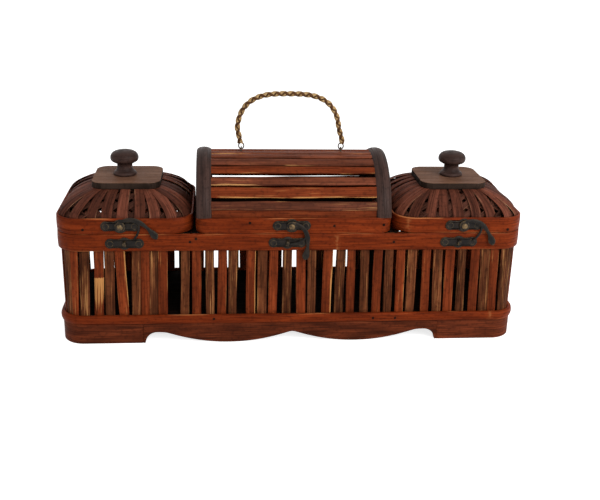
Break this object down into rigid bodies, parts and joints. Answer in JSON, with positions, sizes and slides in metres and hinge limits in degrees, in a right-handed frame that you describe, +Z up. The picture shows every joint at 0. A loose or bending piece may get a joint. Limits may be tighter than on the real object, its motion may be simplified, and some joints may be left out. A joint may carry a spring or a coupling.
{
  "type": "bamboo tea box",
  "caption": "Long slatted bamboo tea box on a scalloped skirt, with woven dome lids at the ends, a barrel-vaulted centre lid with bail handle, and swing-hook latches.",
  "frame": {"origin": "on the ground under the middle of the box", "axes": "+X along the box to the viewer's right, +Y from the latched front to the hinged back, +Z up"},
  "size_m": [0.463, 0.14, 0.2427],
  "materials": {
    "bamboo_hoop": "satin varnish",
    "bamboo_slat": "satin varnish",
    "woven_bamboo": "satin varnish",
    "stained_wood": "satin varnish",
    "dark_wood": "satin varnish",
    "bronze": "antique patina",
    "wire": "dulled wire",
    "cane": "plaited cane"
  },
  "bodies": {
    "box": {"floor_board": "stained_wood", "front_apron": "stained_wood", "rear_apron": "stained_wood", "left_foot_skirt": "stained_wood", "right_foot_skirt": "stained_wood", "base_hoop": "bamboo_hoop", "front_slats": "bamboo_slat", "rear_slats": "bamboo_slat", "left_end_slats": "bamboo_slat", "right_end_slats": "bamboo_slat", "rim_hoop": "bamboo_hoop", "rim_lining": "bamboo_hoop", "left_divider": "stained_wood", "right_divider": "stained_wood", "left_catch": "bronze", "centre_catch": "bronze", "right_catch": "bronze", "hinge_box_leaves": "bronze"},
    "left_lid": {"left_lid_hoop": "bamboo_hoop", "left_dome_ribs": "woven_bamboo", "left_dome_lattice": "woven_bamboo", "left_cap_plate": "stained_wood", "left_knob": "dark_wood", "left_latch_plate": "bronze", "left_latch_rivet": "bronze", "left_hinge_leaves": "bronze"},
    "centre_lid": {"centre_lid_hoop": "bamboo_hoop", "vault_slats": "bamboo_slat", "left_end_board": "stained_wood", "right_end_board": "stained_wood", "left_arch": "dark_wood", "right_arch": "dark_wood", "centre_latch_plate": "bronze", "centre_latch_rivet": "bronze", "centre_hinge_leaves": "bronze", "handle_staples": "wire"},
    "right_lid": {"right_lid_hoop": "bamboo_hoop", "right_dome_ribs": "woven_bamboo", "right_dome_lattice": "woven_bamboo", "right_cap_plate": "stained_wood", "right_knob": "dark_wood", "right_latch_plate": "bronze", "right_latch_rivet": "bronze", "right_hinge_leaves": "bronze"},
    "left_hook": {"left_hook": "bronze"},
    "centre_hook": {"centre_hook": "bronze"},
    "right_hook": {"right_hook": "bronze"},
    "handle": {"handle_eyes": "wire", "handle_grip": "cane"}
  },
  "joints": [
    {"name": "left_lid_hinge", "type": "hinge", "parent": "box", "child": "left_lid", "pos_m": [-0.164, 0.0676, 0.11565], "axis": [-1, 0, 0], "range_deg": [0, 110]},
    {"name": "centre_lid_hinge", "type": "hinge", "parent": "box", "child": "centre_lid", "pos_m": [0, 0.0676, 0.11565], "axis": [-1, 0, 0], "range_deg": [0, 110]},
    {"name": "right_lid_hinge", "type": "hinge", "parent": "box", "child": "right_lid", "pos_m": [0.164, 0.0676, 0.11565], "axis": [-1, 0, 0], "range_deg": [0, 110]},
    {"name": "left_hook_pivot", "type": "hinge", "parent": "left_lid", "child": "left_hook", "pos_m": [-0.167, -0.0676, 0.124], "axis": [0, -1, 0], "range_deg": [-37.1, 53.1]},
    {"name": "centre_hook_pivot", "type": "hinge", "parent": "centre_lid", "child": "centre_hook", "pos_m": [-0.003, -0.0676, 0.124], "axis": [0, -1, 0], "range_deg": [-11, 103]},
    {"name": "right_hook_pivot", "type": "hinge", "parent": "right_lid", "child": "right_hook", "pos_m": [0.167, -0.0676, 0.124], "axis": [0, -1, 0], "range_deg": [-47.1, 66.9]},
    {"name": "handle_swing", "type": "hinge", "parent": "centre_lid", "child": "handle", "pos_m": [0, 0, 0.1842], "axis": [1, 0, 0], "range_deg": [-85, 85]}
  ]
}
